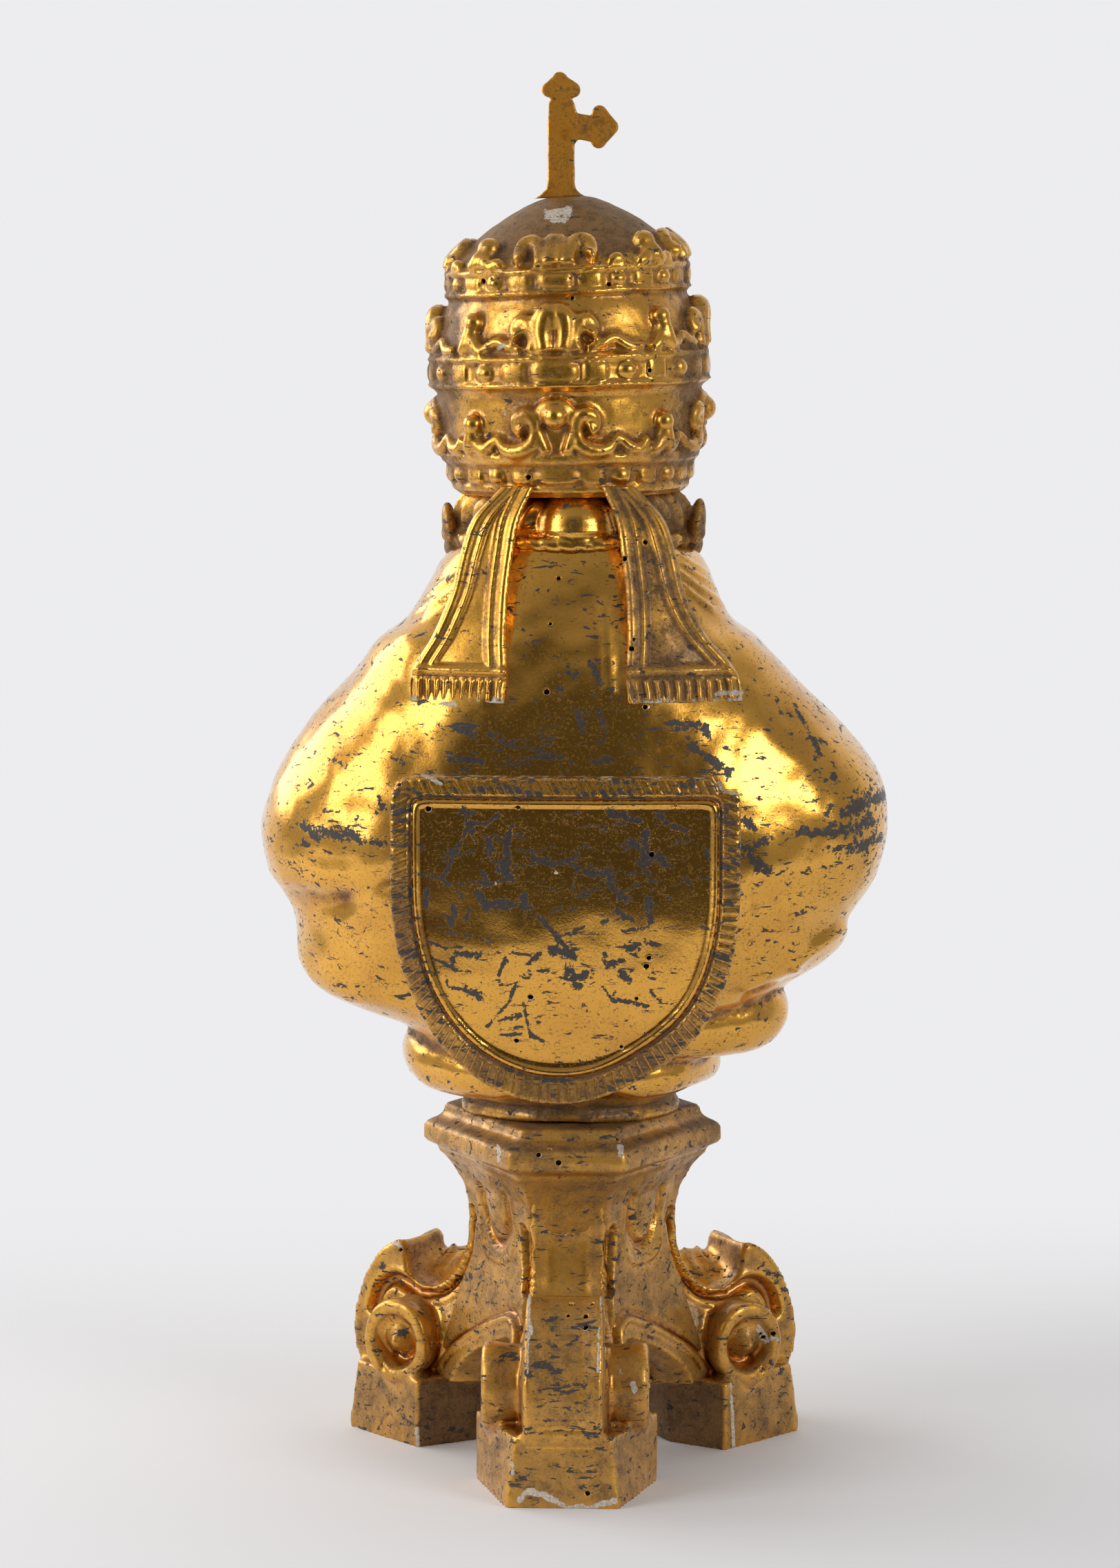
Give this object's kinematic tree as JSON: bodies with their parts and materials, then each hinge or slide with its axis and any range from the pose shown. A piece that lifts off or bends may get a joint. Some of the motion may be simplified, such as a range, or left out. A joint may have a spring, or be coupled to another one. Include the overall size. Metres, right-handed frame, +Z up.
{
  "type": "reliquary bust",
  "caption": "Carved and gilded wooden bust of a bearded prelate in a tiara and a cope with a hood shield, on a three-footed scroll base.",
  "frame": {"origin": "on the floor, under the middle of the bounding box", "axes": "+Z up; the face looks along -Y and the hood shield on the back faces +Y; +X is the figure's own left"},
  "size_m": [0.2452, 0.1794, 0.5404],
  "materials": {
    "gilding": "carved wood, gesso and burnished leaf toned orange-gold, rubbed through to dark grey, with brown dust in the hollows",
    "worn_gilding": "carved wood with worn, browned gilding, dark grey patches, white chips at the edges and worm holes",
    "cross_gilding": "thin carved board with dull gilding, rubbed edges"
  },
  "bodies": {
    "root": {"bust": "gilding", "base": "worn_gilding", "cross": "cross_gilding"}
  },
  "joints": []
}
